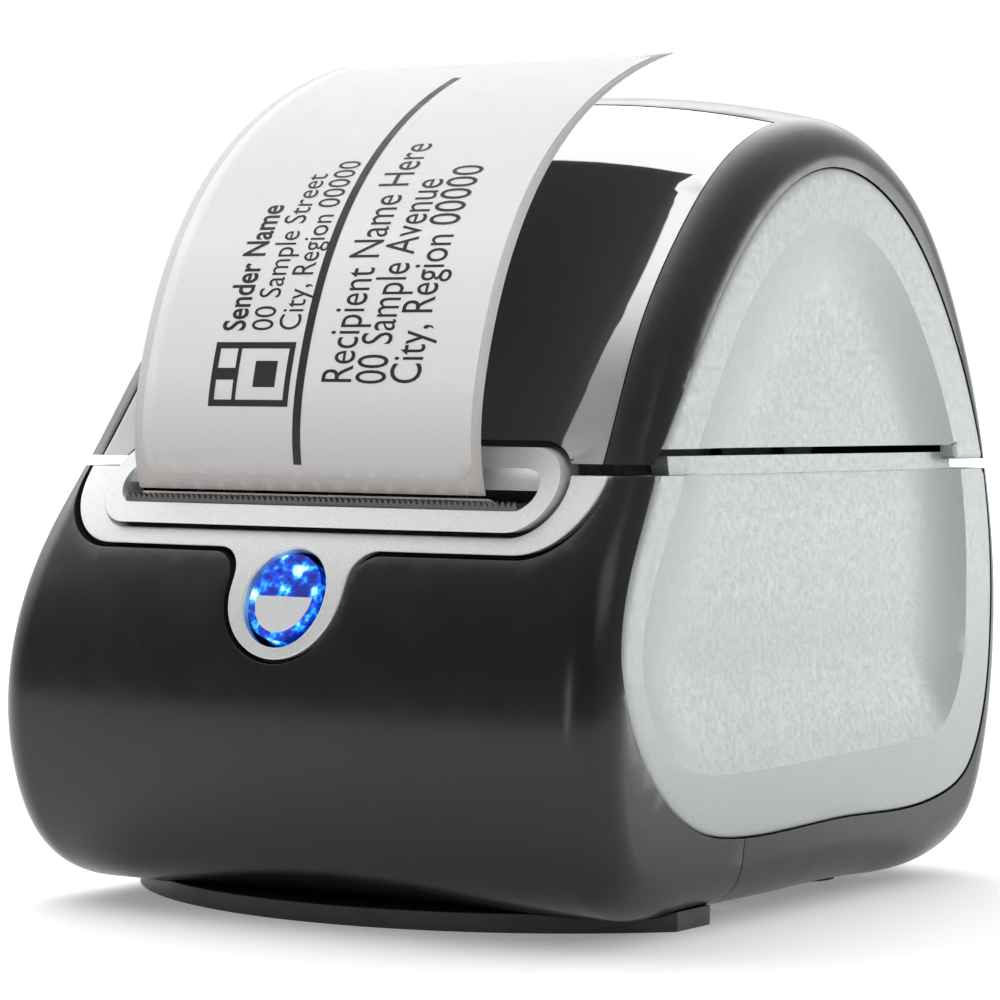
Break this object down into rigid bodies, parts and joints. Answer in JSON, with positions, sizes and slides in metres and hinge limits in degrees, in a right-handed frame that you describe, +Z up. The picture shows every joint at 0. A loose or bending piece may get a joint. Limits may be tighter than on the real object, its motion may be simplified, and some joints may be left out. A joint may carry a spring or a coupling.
{
  "type": "thermal label printer",
  "caption": "Domed desktop label printer with a hinged smoked cover over a label spool, a serrated exit slot, a lit feed button and silver flank panels.",
  "frame": {"origin": "on the table under the middle of the printer", "axes": "+Z up, front of the printer towards -Y, its right-hand side (seen from the front) towards +X"},
  "size_m": [0.119, 0.1582, 0.1449],
  "materials": {
    "black_gloss": "satin gloss black",
    "silver_satin": "satin silver with fine sand texture",
    "silver_bright": "bright silver, fine metallic grain",
    "smoked_window": "smoked, high gloss",
    "black_matt": "moulded matt black",
    "rubber": "matt",
    "steel": "drawn",
    "aluminium": "extruded",
    "gear_white": "moulded acetal",
    "ceramic": "glazed",
    "lever_blue": "moulded",
    "board_green": "solder mask",
    "liner_paper": "glassine paper",
    "label_white": "coated paper",
    "blue_lens": "clear tinted, lit"
  },
  "bodies": {
    "base": {"base_front_shell": "black_gloss", "base_hinge_eyes": "black_matt", "base_rear_shell": "black_gloss", "base_screws": "steel", "base_side_panel_left": "silver_satin", "base_side_panel_right": "silver_satin", "board_chips": "black_matt", "board_posts": "black_matt", "board_screws": "steel", "button_switch": "black_matt", "capacitors": "aluminium", "chassis_floor": "steel", "chassis_plate_left": "steel", "chassis_plate_right": "steel", "dc_jack": "black_matt", "faceplate": "silver_bright", "feed_web": "liner_paper", "gap_sensor": "black_matt", "guide_rail": "steel", "hinge_pins": "steel", "idler_pin": "steel", "joint_lip_left": "silver_satin", "joint_lip_right": "silver_satin", "label_liner": "liner_paper", "label_sticker": "label_white", "main_board": "board_green", "motor_can": "steel", "pedestal_foot": "black_matt", "platen_bearings": "gear_white", "rubber_feet": "rubber", "slot_deflector": "silver_bright", "slot_ring": "silver_bright", "status_led": "blue_lens", "tear_bar": "steel", "usb_socket": "steel"},
    "cover": {"cover_frame": "black_gloss", "cover_window": "smoked_window", "cover_side_panel_left": "silver_satin", "cover_side_panel_right": "silver_satin", "cover_hinge_eyes": "black_matt", "latch_hooks": "black_matt", "spool_cradle_left": "black_matt", "spool_cradle_right": "black_matt"},
    "spool": {"spool_spindle": "black_matt", "spool_guide_disc": "black_matt", "roll_core": "liner_paper", "label_roll": "label_white"},
    "platen": {"platen_shaft": "steel", "platen_rubber": "rubber", "platen_gear": "gear_white"},
    "idler": {"idler_gear": "gear_white"},
    "motor_rotor": {"motor_shaft": "steel", "motor_pinion": "gear_white"},
    "print_head": {"head_heatsink": "aluminium", "head_ceramic": "ceramic", "head_shaft": "steel", "release_lever": "lever_blue"},
    "guide": {"label_guide": "black_matt"},
    "feed_button": {"button_lens": "blue_lens", "button_cap": "silver_bright"}
  },
  "joints": [
    {"name": "cover_hinge", "type": "hinge", "parent": "base", "child": "cover", "pos_m": [0, 0.077, 0.0743], "axis": [-1, 0, 0], "range_deg": [0, 90], "deforming": ["label_liner", "label_sticker", "feed_web"]},
    {"name": "spool_spin", "type": "hinge", "parent": "cover", "child": "spool", "pos_m": [0, 0.014, 0.094], "axis": [1, 0, 0], "continuous": true},
    {"name": "platen_spin", "type": "hinge", "parent": "base", "child": "platen", "pos_m": [0, -0.054, 0.058], "axis": [1, 0, 0], "continuous": true},
    {"name": "idler_spin", "type": "hinge", "parent": "base", "child": "idler", "pos_m": [0.0453, -0.04429, 0.04498], "axis": [1, 0, 0], "continuous": true},
    {"name": "motor_spin", "type": "hinge", "parent": "base", "child": "motor_rotor", "pos_m": [0.0453, -0.04429, 0.03234], "axis": [1, 0, 0], "continuous": true},
    {"name": "head_release", "type": "hinge", "parent": "base", "child": "print_head", "pos_m": [0, -0.036, 0.067], "axis": [-1, 0, 0], "range_deg": [0, 5]},
    {"name": "guide_slide", "type": "slide", "parent": "base", "child": "guide", "axis": [1, 0, 0], "range_m": [0, 0.004]},
    {"name": "feed_press", "type": "slide", "parent": "base", "child": "feed_button", "axis": [0, 0.9026, -0.4305], "range_m": [0, 0.0012], "stiffness_N_per_m": 300, "springref_m": -0.0006}
  ],
  "couplings": [
    {"joint": "idler_spin", "follows": "platen_spin", "ratio": -0.8},
    {"joint": "motor_spin", "follows": "platen_spin", "ratio": 2}
  ]
}
